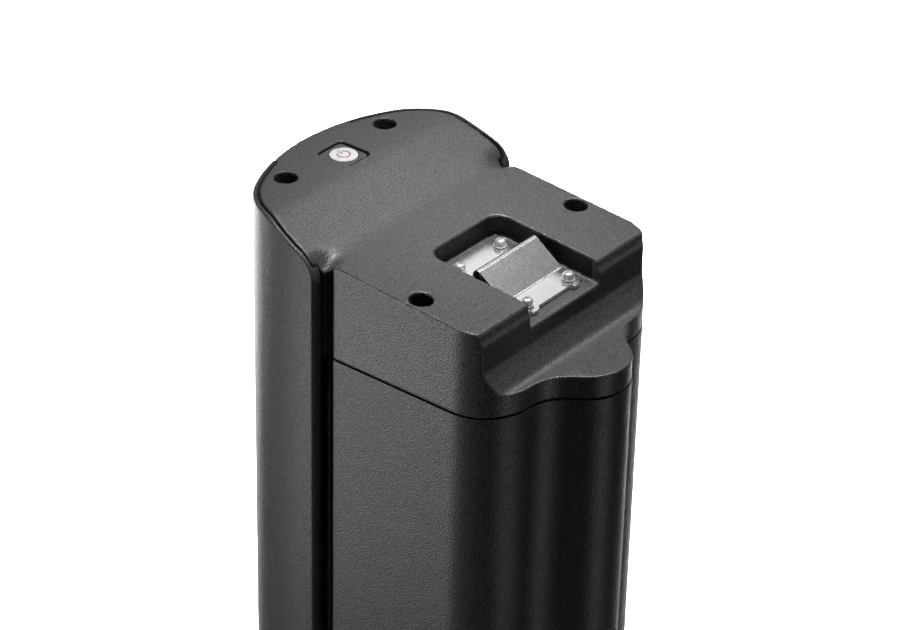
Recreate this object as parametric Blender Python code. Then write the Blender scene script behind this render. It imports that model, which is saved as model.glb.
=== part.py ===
"""In-frame battery pack for an electric bicycle, standing on its bottom cap.

+Z runs up the pack, the narrow nose faces -Y and the D-shaped outer cover faces +Y.
X = 0 is the plane of symmetry, and the origin is the centre of the box's base.
Sizes below are in millimetres; the meshes are written in metres.
"""
import math

import bmesh
import bpy
from mathutils import Matrix, Vector

MM = 0.001
GAP = 0.3                     # clearance between two pieces that touch

# heights
PACK_HEIGHT = 386.0
BOTTOM_CAP_TOP = 33.7
CASE_BOTTOM = 34.2
CASE_TOP = 342.9
TOP_CAP_BOTTOM = 343.4
COVER_BOTTOM = 8.0

# plan of the D-shaped back: three arcs, each from an angle to the next one, off +Y
D_APEX_Y = 63.95
D_RADII = (68.9, 26.0, 63.3)
D_ANGLES = (0.0, 28.6, 70.0)
COVER_END_Y = 18.05           # where the cover's flank turns in
COVER_WALL = 1.4
COVER_LIP = 3.7
RIM_ROUND = 10.0              # radius of the rim where it turns down at the flank's end
CASE_UNDER_COVER = 2.3        # case surface below the cover's outer surface

# plan of the body and its nose
BODY_HALF_WIDTH = 43.5
GROOVE_X = 42.0
GROOVE_BACK_Y = 20.4
GROOVE_FRONT_Y = 14.9
GROOVE_CHAMFER = 0.6
# nose arcs from the lobe's tip to the side face: radius (negative where hollow) and the
# angles of the surface normal off -Y at both ends; a straight flank follows the first arc
NOSE_ARCS = [(13.8, 0.0, 53.0), (-14.8, 53.0, 1.5), (20.4, 1.5, 32.0), (16.2, 32.0, 90.0)]
WALL = 2.5
REBATE = 0.9                  # seat cut into the shells' edges for the seals

# the cap's top surface, seen from the side
MAIN_SLOPE = 0.0752
MAIN_HEIGHT = 375.47          # of the main face at Y = 0
RAMP_FOOT_Y = 17.45
RAMP_HEAD_Y = 39.05
TAB_HALF_WIDTH = 17.2
TAB_DEPTH = 12.0

# latch recess and bracket
RECESS_HALF_WIDTH = 17.2
RECESS_BACK_Y = -0.65
RECESS_CORNER = 5.5
RECESS_DEPTH = 7.69
BRACKET_HALF_WIDTH = 14.3
BRACKET_HEIGHT = 6.7          # outer face of the upright leg, above the recess floor
SHEET = 1.2
BRACKET_SCREWS = [(-10.1, -7.85), (10.1, -7.85), (-10.3, -34.15), (10.3, -34.15)]

# screws that hold the caps
CAP_SCREWS = [(-23.93, 50.65), (23.93, 50.65), (-38.4, -15.66), (38.4, -15.66)]
WELL_RADIUS = 3.76
WELL_FLOOR = 350.0
FOOT_WELL_FLOOR = 25.0
POST_RADIUS = 5.5
BOSS_RADIUS = 4.5
BOSS_LENGTH = 11.9
PILOT_RADIUS = 2.2
CLEAR_RADIUS = 2.3

# power button
KEY_Y = 47.45
KEY_HALF = (6.0, 6.5)
KEY_TRAVEL = 0.8
LENS_RADIUS = 4.6

# cells: 21700 size, four in a layer, thirteen layers
CELL_RADIUS = 10.6
CELL_HALF_LENGTH = 35.1
PITCH = 22.0
LAYERS = 13
PER_LAYER = 4
CELLS_FRONT_Y = -41.9
CELLS_BOTTOM = 40.0
HOLDER_X = (24.0, 33.6)       # a holder plate's inner and outer faces

# management board, under the top cap
BOARD_TOP = 335.6
BOARD_THICKNESS = 1.6
LEAD_RADIUS = 1.9
BLADE_X = 14.0
PIN_X = 3.0
CONTACT_Y = -19.0

# bottom cap fittings
CONNECTOR = (-24.0, 24.0, -30.0, -8.0)
FLAP = (-9.3, 11.3, 7.3, 28.7)
SOCKET_Y = 1.0
SOCKET_Z = 17.0


def clear_scene():
    for obj in list(bpy.data.objects):
        bpy.data.objects.remove(obj, do_unlink=True)


def material(name, colour, roughness, metallic=0.0):
    mat = bpy.data.materials.new(name)
    mat.use_nodes = True
    shader = mat.node_tree.nodes["Principled BSDF"]
    shader.inputs["Base Color"].default_value = (*colour, 1.0)
    shader.inputs["Roughness"].default_value = roughness
    shader.inputs["Metallic"].default_value = metallic
    return mat


def finish_mesh(name, bm, look):
    """Turn a bmesh in millimetres into a named object in metres."""
    bmesh.ops.recalc_face_normals(bm, faces=bm.faces)
    bmesh.ops.scale(bm, vec=(MM, MM, MM), verts=bm.verts)
    mesh = bpy.data.meshes.new(name)
    bm.to_mesh(mesh)
    bm.free()
    mesh.shade_smooth()
    mesh.set_sharp_from_angle(angle=math.radians(35))
    obj = bpy.data.objects.new(name, mesh)
    bpy.context.scene.collection.objects.link(obj)
    if look is not None:
        mesh.materials.append(material(name, *look))
    else:
        obj.hide_render = True
        obj.display_type = "WIRE"
    return obj


def at(height, x, y):
    return height(x, y) if callable(height) else height


def prism(name, outline, low, high, look=None):
    """Upright solid on a plan outline; low and high are heights or functions of x, y."""
    bm = bmesh.new()
    foot = [bm.verts.new((x, y, at(low, x, y))) for x, y in outline]
    head = [bm.verts.new((x, y, at(high, x, y))) for x, y in outline]
    bm.faces.new(list(reversed(foot)))
    bm.faces.new(head)
    for i in range(len(outline)):
        j = (i + 1) % len(outline)
        bm.faces.new((foot[i], foot[j], head[j], head[i]))
    return finish_mesh(name, bm, look)


def side_prism(name, profile, half_width, look=None):
    """Solid with a Y-Z profile, running from -half_width to +half_width along X."""
    bm = bmesh.new()
    left = [bm.verts.new((-half_width, y, z)) for y, z in profile]
    right = [bm.verts.new((half_width, y, z)) for y, z in profile]
    bm.faces.new(list(reversed(left)))
    bm.faces.new(right)
    for i in range(len(profile)):
        j = (i + 1) % len(profile)
        bm.faces.new((left[i], left[j], right[j], right[i]))
    return finish_mesh(name, bm, look)


def box(name, low, high, look=None):
    outline = [(low[0], low[1]), (high[0], low[1]), (high[0], high[1]), (low[0], high[1])]
    return prism(name, outline, low[2], high[2], look)


def rod(name, start, end, radius, sides=16, look=None):
    """Round bar between two points."""
    start = Vector(start)
    end = Vector(end)
    along = end - start
    turn = along.to_track_quat("Z", "Y").to_matrix().to_4x4()
    place = Matrix.Translation((start + end) / 2) @ turn
    bm = bmesh.new()
    bmesh.ops.create_cone(bm, cap_ends=True, segments=sides, radius1=radius, radius2=radius,
                          depth=along.length, matrix=place)
    return finish_mesh(name, bm, look)


def turned(name, profile, centre, sides=16, look=None):
    """Turned piece: profile is (radius, height) pairs, first and last on the axis."""
    bm = bmesh.new()
    rings = []
    for radius, height in profile:
        if radius == 0:
            rings.append([bm.verts.new((centre[0], centre[1], centre[2] + height))])
            continue
        ring = []
        for k in range(sides):
            angle = 2 * math.pi * k / sides
            ring.append(bm.verts.new((centre[0] + radius * math.cos(angle),
                                      centre[1] + radius * math.sin(angle),
                                      centre[2] + height)))
        rings.append(ring)
    for a, b in zip(rings[:-1], rings[1:]):
        for k in range(sides):
            n = (k + 1) % sides
            corners = [a[k % len(a)], a[n % len(a)], b[n % len(b)], b[k % len(b)]]
            bm.faces.new(list(dict.fromkeys(corners)))
    return finish_mesh(name, bm, look)


def combine(obj, others, operation):
    for other in others:
        mod = obj.modifiers.new(other.name, "BOOLEAN")
        mod.operation = operation
        mod.solver = "EXACT"
        mod.object = other
    return obj


def cut(obj, *cutters):
    return combine(obj, cutters, "DIFFERENCE")


def join(obj, *extras):
    return combine(obj, extras, "UNION")


def keep(obj, *regions):
    return combine(obj, regions, "INTERSECT")


def d_point(inset, angle):
    """Point of the D outline, inset from the cover's outer surface, at an angle off +Y."""
    x, y = 0.0, D_APEX_Y - D_RADII[0]
    radius = D_RADII[0]
    for bend, new_radius in zip(D_ANGLES[1:], D_RADII[1:]):
        if angle <= bend:
            break
        turn = math.radians(bend)
        x += (radius - new_radius) * math.sin(turn)
        y += (radius - new_radius) * math.cos(turn)
        radius = new_radius
    turn = math.radians(angle)
    return x + (radius - inset) * math.sin(turn), y + (radius - inset) * math.cos(turn)


def d_half(inset, end_y, step=6.0):
    """Right half of the D from its apex to the flank at end_y."""
    points = []
    angle = 0.0
    while True:
        x, y = d_point(inset, angle)
        if y <= end_y:
            break
        points.append((x, y))
        angle += step
    points.append((points[-1][0] if angle < 90 else x, end_y))
    return points


def nose_normal(angle):
    turn = math.radians(angle)
    return math.sin(turn), -math.cos(turn)


def flank_length():
    """Length of the lobe's straight flank that brings the last arc to the side face."""
    reach = sum(radius * (nose_normal(stop)[0] - nose_normal(start)[0])
                for radius, start, stop in NOSE_ARCS)
    return (BODY_HALF_WIDTH - reach) / -nose_normal(NOSE_ARCS[0][2])[1]


def nose_half(inset, steps=5):
    """Right half of the body's front, from the side face round to the lobe's tip."""
    x, y = 0.0, -D_APEX_Y
    points = []
    for number, (radius, start, stop) in enumerate(NOSE_ARCS):
        normal = nose_normal(start)
        cx, cy = x - radius * normal[0], y - radius * normal[1]
        for k in range(0 if number < 2 else 1, steps + 1):
            normal = nose_normal(start + (stop - start) * k / steps)
            points.append((cx + (radius - inset) * normal[0], cy + (radius - inset) * normal[1]))
        x, y = cx + radius * normal[0], cy + radius * normal[1]
        if number == 0:
            x -= flank_length() * normal[1]
            y += flank_length() * normal[0]
    return list(reversed(points))


def mirrored(half):
    """Close a right half whose first and last points lie on X = 0."""
    return half + [(-x, y) for x, y in reversed(half[1:-1])]


def body_outline(inset=0.0):
    side = BODY_HALF_WIDTH - inset
    front = GROOVE_FRONT_Y - inset
    half = d_half(CASE_UNDER_COVER + inset, GROOVE_BACK_Y + inset)
    half += [(GROOVE_X - inset, GROOVE_BACK_Y + inset), (GROOVE_X - inset, front),
             (side - GROOVE_CHAMFER, front), (side, front - GROOVE_CHAMFER)]
    return mirrored(half + nose_half(inset))


def cover_outline():
    outer = d_half(0.0, COVER_END_Y)
    inner = d_half(COVER_WALL, COVER_END_Y + COVER_WALL)
    tip = outer[-1][0] - COVER_LIP
    right = outer + [(tip, COVER_END_Y), (tip, COVER_END_Y + COVER_WALL)]
    back = [(-x, y) for x, y in right[1:]]
    inside = list(reversed(inner))
    return list(reversed(back)) + right + inside + [(-x, y) for x, y in inner[1:]]


def main_face(x, y):
    return MAIN_HEIGHT + MAIN_SLOPE * y


def recess_floor(x, y):
    return main_face(x, y) - RECESS_DEPTH


def top_profile():
    """Y-Z outline of everything below the pack's top surface."""
    return [(-70, 300), (-70, 351.6), (-52, 351.5), (-47.2, 351.0), (-45.2, 351.7), (-43.8, 353.8),
            (-43.1, 356.5), (-42.3, 359.2), (-41.4, 361.8), (-41.0, 365.5), (-40.8, 369.0),
            (-40.2, 371.1), (-38.8, 372.35), (-36.5, main_face(0, -36.5)),
            (RAMP_FOOT_Y, main_face(0, RAMP_FOOT_Y)), (RAMP_HEAD_Y, PACK_HEIGHT), (70, PACK_HEIGHT),
            (70, 300)]


def rounded_rectangle(half_x, half_y, radius, cx=0.0, cy=0.0, steps=3):
    points = []
    corners = ((1, 1, 0), (-1, 1, 90), (-1, -1, 180), (1, -1, 270))
    for sx, sy, start in corners:
        for k in range(steps + 1):
            turn = math.radians(start + 90 * k / steps)
            points.append((cx + sx * (half_x - radius) + radius * math.cos(turn),
                           cy + sy * (half_y - radius) + radius * math.sin(turn)))
    return points


SHELL = ((0.022, 0.022, 0.023), 0.5)
SKIN = ((0.028, 0.028, 0.029), 0.45)
ZINC = ((0.72, 0.72, 0.70), 0.25, 1.0)
DARK_STEEL = ((0.25, 0.25, 0.26), 0.35, 1.0)
SEAL = ((0.02, 0.02, 0.02), 0.8)
WHITE = ((0.9, 0.9, 0.9), 0.3)
BOARD = ((0.02, 0.16, 0.07), 0.5)
HOLDER = ((0.05, 0.05, 0.055), 0.6)
WRAP = ((0.06, 0.25, 0.45), 0.4)
ALLOY = ((0.6, 0.6, 0.62), 0.35, 1.0)
COPPER = ((0.8, 0.5, 0.3), 0.3, 1.0)
RED = ((0.5, 0.02, 0.02), 0.5)
BLACK = ((0.015, 0.015, 0.015), 0.5)
FOAM = ((0.2, 0.2, 0.2), 0.95)
PAPER = ((0.75, 0.68, 0.45), 0.8)
YELLOW = ((0.7, 0.55, 0.05), 0.35)
GREY = ((0.6, 0.6, 0.6), 0.6)


def make_main_case():
    case = prism("main_case", body_outline(), CASE_BOTTOM, CASE_TOP, SHELL)
    bore = prism("case_bore", body_outline(WALL), CASE_BOTTOM - 5, CASE_TOP + 5)
    for k, (x, y) in enumerate(CAP_SCREWS):
        top = rod(f"case_top_boss_{k}", (x, y, CASE_TOP - BOSS_LENGTH), (x, y, CASE_TOP + 8), BOSS_RADIUS)
        bottom = rod(f"case_bottom_boss_{k}", (x, y, CASE_BOTTOM - 8), (x, y, CELLS_BOTTOM - 0.5),
                     BOSS_RADIUS)
        cut(bore, top, bottom)
    cut(case, bore)
    rebate = body_outline(REBATE)
    cut(case, prism("case_top_rebate", rebate, CASE_TOP - REBATE, CASE_TOP + 5),
        prism("case_bottom_rebate", rebate, CASE_BOTTOM - 5, CASE_BOTTOM + REBATE))
    for k, (x, y) in enumerate(CAP_SCREWS):
        cut(case, rod(f"case_top_hole_{k}", (x, y, 332.5), (x, y, CASE_TOP + 5), PILOT_RADIUS, 12),
            rod(f"case_bottom_hole_{k}", (x, y, CASE_BOTTOM - 5), (x, y, 38.3), PILOT_RADIUS, 12))


def rim_profile():
    """Y-Z outline of the cover: its rim follows the cap and rounds down at the flank's end."""
    slope = (PACK_HEIGHT - main_face(0, RAMP_FOOT_Y)) / (RAMP_HEAD_Y - RAMP_FOOT_Y)
    tilt = math.atan(slope)
    start = main_face(0, RAMP_FOOT_Y) + slope * (COVER_END_Y + RIM_ROUND - RAMP_FOOT_Y)
    cy, cz = COVER_END_Y + RIM_ROUND, start - RIM_ROUND / math.cos(tilt)
    turns = [math.pi / 2 + (tilt - math.pi / 2) * k / 6 for k in range(7)]
    arc = [(cy - RIM_ROUND * math.sin(turn), cz + RIM_ROUND * math.cos(turn)) for turn in turns]
    return [(10, 0), (10, cz)] + arc + [(RAMP_HEAD_Y, PACK_HEIGHT), (70, PACK_HEIGHT), (70, 0)]


def make_outer_cover():
    cover = prism("outer_cover", cover_outline(), COVER_BOTTOM, PACK_HEIGHT + 5, SKIN)
    keep(cover, side_prism("cover_top", rim_profile(), 60))
    notch = TAB_HALF_WIDTH + 0.4
    notch_floor = PACK_HEIGHT - TAB_DEPTH - 0.4
    cut(cover, box("cover_notch", (-notch, 50, notch_floor), (notch, 70, PACK_HEIGHT + 9)))


def make_tab():
    limit = math.degrees(math.asin(TAB_HALF_WIDTH / D_RADII[0]))
    outer = [d_point(0.6, abs(limit * k / 4)) for k in range(-4, 5)]
    outer = [(x if k >= 0 else -x, y) for k, (x, y) in zip(range(-4, 5), outer)]
    inner = [(x, y - 6.0) for x, y in reversed(outer)]
    return prism("cap_tab", outer + inner, PACK_HEIGHT - TAB_DEPTH, PACK_HEIGHT + 4)


def make_top_cap():
    cap = prism("top_cap", body_outline(), TOP_CAP_BOTTOM, PACK_HEIGHT + 4, SHELL)
    join(cap, make_tab())
    keep(cap, side_prism("cap_top", top_profile(), 60))
    hollow = prism("cap_hollow", body_outline(WALL), 330, 348.6)
    middle = [(-BODY_HALF_WIDTH + WALL, -37.5), (BODY_HALF_WIDTH - WALL, -37.5),
              (BODY_HALF_WIDTH - WALL, 11.0), (-BODY_HALF_WIDTH + WALL, 11.0)]
    back = [(x, y) for x, y in body_outline(WALL) if y > GROOVE_BACK_Y]
    join(hollow, prism("cap_hollow_middle", middle, 335, 362.0),
         prism("cap_hollow_back", back, 335, 371.0),
         box("cap_hollow_bridge", (-30, 5, 336), (30, 28, 362)),
         box("cap_hollow_button", (-12.5, 40.0, 340), (12.5, 55.0, 383.0)))
    for k, (x, y) in enumerate(CAP_SCREWS):
        cut(hollow, rod(f"cap_post_{k}", (x, y, 325), (x, y, 380), POST_RADIUS))
    cut(cap, hollow, prism("cap_rebate", body_outline(REBATE), 330, TOP_CAP_BOTTOM + REBATE))
    for k, (x, y) in enumerate(CAP_SCREWS):
        cut(cap, rod(f"cap_well_{k}", (x, y, WELL_FLOOR), (x, y, 400), WELL_RADIUS, 24),
            rod(f"cap_hole_{k}", (x, y, 330), (x, y, WELL_FLOOR + 1), CLEAR_RADIUS, 12))
    arc = rounded_rectangle(RECESS_HALF_WIDTH, 40, RECESS_CORNER, 0, RECESS_BACK_Y - 40, 5)
    back_half = [(x, y) for x, y in arc if y > RECESS_BACK_Y - 40]
    recess = back_half + [(-RECESS_HALF_WIDTH, -62), (RECESS_HALF_WIDTH, -62)]
    cut(cap, prism("recess", recess, recess_floor, 400))
    for k, (x, y) in enumerate(BRACKET_SCREWS):
        cut(cap, rod(f"bracket_hole_{k}", (x, y, 358), (x, y, 370), 1.35, 10))
    window = rounded_rectangle(*KEY_HALF, 1.8, 0, KEY_Y)
    cut(cap, prism("key_window", window, 378, 400))


def make_bracket():
    """One bent sheet: back flange, upright leg, ridge, ramp and front flange."""
    low, high = GAP, GAP + SHEET
    leg_top = -15.9 - (BRACKET_HEIGHT - high) * MAIN_SLOPE / (1 + MAIN_SLOPE ** 2)
    profile = [(-2.45, low), (-2.45, high), (-15.9, high), (leg_top, BRACKET_HEIGHT), (-16.8, 7.4),
               (-17.7, 7.5), (-18.4, 7.0), (-28.15, high), (-36.75, high), (-36.75, low),
               (-28.75, low), (-18.5, 5.6), (-17.75, 6.1), (-17.48, 5.85), (-17.1, low)]
    profile = [(y, recess_floor(0, y) + h) for y, h in profile]
    bracket = side_prism("latch_bracket", profile, BRACKET_HALF_WIDTH, ZINC)
    for side in (-1, 1):
        x, y = 10.4 * side, -35.3
        floor = recess_floor(x, y)
        join(bracket, rod(f"ear_{side}", (x, y, floor + low + 0.02), (x, y, floor + high - 0.02), 2.9, 12))
    for k, (x, y) in enumerate(BRACKET_SCREWS):
        cut(bracket, rod(f"sheet_hole_{k}", (x, y, 360), (x, y, 372), 1.45, 10))


def make_bracket_screws():
    profile = [(0, -5.4), (1.0, -5.0), (1.0, GAP), (2.1, GAP), (2.1, 0.7), (1.75, 0.7), (1.75, 1.25),
               (1.85, 1.25), (1.85, 1.9), (1.35, 2.5), (0, 2.65)]
    for k, (x, y) in enumerate(BRACKET_SCREWS):
        seat = recess_floor(x, y) + GAP + SHEET
        turned(f"bracket_screw_{k + 1}", profile, (x, y, seat), 12, ZINC)


def make_cap_screws():
    length = 16.5
    profile = [(0, -length), (1.9, -length + 0.6), (1.9, 0), (3.3, 0), (3.3, 2.0), (2.6, 2.8),
               (1.5, 2.8), (1.5, 1.2), (0, 1.2)]
    for k, (x, y) in enumerate(CAP_SCREWS):
        turned(f"top_cap_screw_{k + 1}", profile, (x, y, WELL_FLOOR + GAP), 12, DARK_STEEL)
    flipped = [(r, -h * (12.8 / length if h < 0 else 1)) for r, h in profile]
    seat = FOOT_WELL_FLOOR - 0.1 - GAP
    for k, (x, y) in enumerate(CAP_SCREWS):
        turned(f"bottom_cap_screw_{k + 1}", flipped, (x, y, seat), 12, DARK_STEEL)


def make_power_button():
    top = PACK_HEIGHT - 0.5
    inner = (KEY_HALF[0] - GAP, KEY_HALF[1] - GAP)
    key = prism("power_button", rounded_rectangle(*inner, 1.6, 0, KEY_Y), 380.4, top, SHELL)
    join(key, prism("key_flange", rounded_rectangle(7.2, 7.0, 1.5, 0, KEY_Y), 380.41, 382.4))
    cut(key, rod("lens_seat", (0, KEY_Y, top - 1.2), (0, KEY_Y, top + 5), LENS_RADIUS + GAP, 24))
    rod("button_lens", (0, KEY_Y, top - 0.9), (0, KEY_Y, top + 0.15), LENS_RADIUS, 24, WHITE)
    rod("switch_plunger", (0, KEY_Y, 376.0), (0, KEY_Y, 380.1), 1.5, 12, BLACK)
    switch = box("button_switch", (-3.2, KEY_Y - 3.2, 373.4), (3.2, KEY_Y + 3.2, 377.0), BLACK)
    cut(switch, rod("switch_bore", (0, KEY_Y, 374.6), (0, KEY_Y, 380), 1.9, 12))
    box("button_board", (-11.5, 40.8, 371.5), (11.5, 54.2, 373.1), BOARD)


def make_gasket(name, low, high):
    ring = prism(name, body_outline(1.2), low, high, SEAL)
    cut(ring, prism(f"{name}_inside", body_outline(2.4), low - 2, high + 2))


def make_cell_holder(name, side):
    """Plate of square tiles, one for each cell, with an eight-sided hole in each."""
    near, far = (side * x for x in HOLDER_X)
    apothem = CELL_RADIUS + 0.12
    corner = apothem / math.cos(math.pi / 8)
    bm = bmesh.new()
    cache = {}

    def vert(x, y, z):
        key = (round(x, 3), round(y, 3), round(z, 3))
        if key not in cache:
            cache[key] = bm.verts.new((x, y, z))
        return cache[key]

    for column in range(PER_LAYER):
        for layer in range(LAYERS):
            y0 = CELLS_FRONT_Y + column * PITCH
            z0 = CELLS_BOTTOM + layer * PITCH
            cy, cz = y0 + PITCH / 2, z0 + PITCH / 2
            square = [(y0 + PITCH, z0 + PITCH), (y0, z0 + PITCH), (y0, z0), (y0 + PITCH, z0)]
            hole = [(cy + corner * math.cos(math.pi * (k + 0.5) / 4),
                     cz + corner * math.sin(math.pi * (k + 0.5) / 4)) for k in range(8)]
            for x in (near, far):
                for k in range(4):
                    a, b = square[k], square[(k + 1) % 4]
                    h0, h1, h2 = hole[2 * k], hole[2 * k + 1], hole[(2 * k + 2) % 8]
                    bm.faces.new((vert(x, *a), vert(x, *h1), vert(x, *h0)))
                    bm.faces.new((vert(x, *a), vert(x, *b), vert(x, *h2), vert(x, *h1)))
            for k in range(8):
                a, b = hole[k], hole[(k + 1) % 8]
                bm.faces.new((vert(near, *a), vert(near, *b), vert(far, *b), vert(far, *a)))
            edges = ((column == 0, 1, 2), (column == PER_LAYER - 1, 3, 0),
                     (layer == 0, 2, 3), (layer == LAYERS - 1, 0, 1))
            for on_edge, i, j in edges:
                if on_edge:
                    a, b = square[i], square[j]
                    bm.faces.new((vert(near, *a), vert(near, *b), vert(far, *b), vert(far, *a)))
    finish_mesh(name, bm, HOLDER)


def make_cell_groups():
    for layer in range(LAYERS):
        z = CELLS_BOTTOM + (layer + 0.5) * PITCH
        ys = [CELLS_FRONT_Y + (column + 0.5) * PITCH for column in range(PER_LAYER)]
        name = f"cell_group_{layer + 1:02d}"
        cells = [rod(name if k == 0 else f"{name}_cell_{k}", (-CELL_HALF_LENGTH, y, z),
                     (CELL_HALF_LENGTH, y, z), CELL_RADIUS, 10, WRAP if k == 0 else None)
                 for k, y in enumerate(ys)]
        join(cells[0], *cells[1:])
        for side in (-1, 1):
            ends = sorted((side * (CELL_HALF_LENGTH - 0.3), side * (CELL_HALF_LENGTH + 0.3)))
            join(cells[0], box(f"{name}_strip_{side}", (ends[0], ys[0] - 4, z - 4),
                               (ends[1], ys[-1] + 4, z + 4)))


def make_electronics():
    seat = BOARD_TOP + GAP
    box("bms_board", (-30, -36, BOARD_TOP - BOARD_THICKNESS), (30, 44, BOARD_TOP), BOARD)
    sink = box("bms_heatsink", (-22, -10, seat), (22, 34, 345.5), ALLOY)
    for k in range(6):
        x = -18.5 + 7.4 * k - 1.5
        cut(sink, box(f"sink_slot_{k}", (x, -12, 338.5), (x + 4.0, 36, 350)))
    box("balance_connector", (-26, -33, seat), (-6, -26, 342.0), WHITE)
    box("fuse_holder", (8, -32, seat), (26, -20, 339.0), BLACK)
    box("blade_fuse", (10, -29, 339.0 + GAP), (24, -23, 346.5), YELLOW)
    box("foam_pad_top", (-31, -38, 326.6), (31, 44, 331.0), FOAM)
    box("foam_pad_bottom", (-31, -38, 35.6), (31, 44, 39.6), FOAM)
    for name, side in (("insulation_sheet_left", -1), ("insulation_sheet_right", 1)):
        ends = sorted((side * 36.4, side * 36.9))
        box(name, (ends[0], -33, 44), (ends[1], 40, 322), PAPER)


def tube_along(name, points, radius, look):
    """Round lead along a smooth route through the given points."""
    knots = [Vector(p) for p in points]
    knots = [knots[0] * 2 - knots[1]] + knots + [knots[-1] * 2 - knots[-2]]
    route = []
    for a, b, c, d in zip(knots, knots[1:], knots[2:], knots[3:]):
        for k in range(3):
            t = k / 3
            route.append(0.5 * (2 * b + (c - a) * t + (2 * a - 5 * b + 4 * c - d) * t * t
                                + (3 * b - a - 3 * c + d) * t ** 3))
    route.append(Vector(points[-1]))
    curve = bpy.data.curves.new(name, "CURVE")
    curve.dimensions = "3D"
    curve.bevel_depth = radius * MM
    curve.bevel_resolution = 1
    curve.use_fill_caps = True
    spline = curve.splines.new("POLY")
    spline.points.add(len(route) - 1)
    for point, place in zip(spline.points, route):
        point.co = (*(place * MM), 1.0)
    curve.materials.append(material(name, *look))
    lead = bpy.data.objects.new(name, curve)
    bpy.context.scene.collection.objects.link(lead)


def make_leads():
    for name, side, look in (("positive_lead", 1, RED), ("negative_lead", -1, BLACK)):
        x, blade = 5.0 * side, BLADE_X * side
        route = [(x, -35, 339.5), (x, -42, 339.5), (x, -50, 335), (x, -53, 322), (x, -53, 200),
                 (x, -53, 60), (x, -52, 40), (x * 1.3, -44, 28), (blade, -30, 25.2), (blade, CONTACT_Y, 25.2)]
        tube_along(name, route, LEAD_RADIUS, look)
    box("balance_harness", (-2.4, -57.5, 40), (2.4, -55.5, 331), GREY)


def make_bottom_cap():
    cap = prism("bottom_cap", body_outline(), 0.0, BOTTOM_CAP_TOP, SHELL)
    foot = d_half(0.4, 16.0) + [(BODY_HALF_WIDTH, GROOVE_FRONT_Y)] + nose_half(0.0)
    join(cap, prism("bottom_flange", mirrored(foot), 0.01, COVER_BOTTOM - 0.4))
    hollow = prism("bottom_hollow", body_outline(WALL + 0.5), 3.0, 40)
    for k, (x, y) in enumerate(CAP_SCREWS):
        cut(hollow, rod(f"bottom_post_{k}", (x, y, -5), (x, y, 50), POST_RADIUS))
    cut(hollow, box("port_backing", (38.4, -12, -5), (60, 14, 50)))
    cut(cap, hollow, prism("bottom_rebate", body_outline(REBATE), BOTTOM_CAP_TOP - REBATE, 45))
    for k, (x, y) in enumerate(CAP_SCREWS):
        cut(cap, rod(f"bottom_well_{k}", (x, y, -10), (x, y, FOOT_WELL_FLOOR), WELL_RADIUS, 16),
            rod(f"bottom_hole_{k}", (x, y, 20), (x, y, 45), CLEAR_RADIUS, 12))
    x0, x1, y0, y1 = CONNECTOR
    y2, y3, z2, z3 = FLAP
    cut(cap, box("connector_opening", (x0 - GAP, y0 - GAP, -5), (x1 + GAP, y1 + GAP, 8)),
        box("flap_pocket", (41.3, y2 - GAP, z2 - GAP), (50, y3 + GAP, z3 + GAP)),
        rod("socket_hole", (30, SOCKET_Y, SOCKET_Z), (50, SOCKET_Y, SOCKET_Z), 6.4, 20))


def make_connector():
    x0, x1, y0, y1 = CONNECTOR
    body = box("discharge_connector", (x0, y0, 0.8), (x1, y1, 20.0), BLACK)
    join(body, box("connector_flange", (x0 - 4, y0 - 4, 3.3), (x1 + 4, y1 + 4, 6.0)))
    cut(body, box("connector_mouth", (x0 + 3, y0 + 3, -5), (x1 - 3, y1 - 3, 15.0)))
    for name, x in (("positive_blade", BLADE_X), ("negative_blade", -BLADE_X)):
        cut(body, box(f"{name}_slot", (x - 1.0, -24.0, 10), (x + 1.0, -14.0, 25)))
        box(name, (x - 0.7, -23.5, 5.2), (x + 0.7, -14.5, 22.6), COPPER)
    for k, x in enumerate((-PIN_X, PIN_X)):
        cut(body, rod(f"pin_hole_{k}", (x, CONTACT_Y, 10), (x, CONTACT_Y, 25), 1.1, 8))
        rod(f"signal_pin_{k + 1}", (x, CONTACT_Y, 5.2), (x, CONTACT_Y, 22.0), 0.8, 8, COPPER)


def make_charge_port():
    centre = (SOCKET_Y, SOCKET_Z)
    socket = rod("charge_socket", (27.0, *centre), (40.9, *centre), 6.1, 20, BLACK)
    cut(socket, rod("socket_bore", (31.0, *centre), (45, *centre), 3.6, 16))
    rod("charge_pin", (31.3, *centre), (39.5, *centre), 0.9, 8, COPPER)
    y2, y3, z2, z3 = FLAP
    flap = box("charge_port_cover", (41.6, y2, z2), (BODY_HALF_WIDTH - 0.1, y3, z3), SEAL)
    lip_end = BODY_HALF_WIDTH + 1.2
    join(flap, box("flap_lip", (42.6, SOCKET_Y - 4, z2), (lip_end, SOCKET_Y + 4, z2 + 1.6)))


def main():
    clear_scene()
    make_main_case()
    make_outer_cover()
    make_top_cap()
    make_bracket()
    make_bracket_screws()
    make_cap_screws()
    make_power_button()
    make_gasket("top_gasket", CASE_TOP - 0.6, TOP_CAP_BOTTOM + 0.6)
    make_gasket("bottom_gasket", BOTTOM_CAP_TOP - 0.6, CASE_BOTTOM + 0.6)
    make_cell_holder("cell_holder_left", -1)
    make_cell_holder("cell_holder_right", 1)
    make_cell_groups()
    make_electronics()
    make_leads()
    make_bottom_cap()
    make_connector()
    make_charge_port()


main()
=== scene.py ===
import math

import bmesh
import bpy
from mathutils import Matrix, Vector


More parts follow.
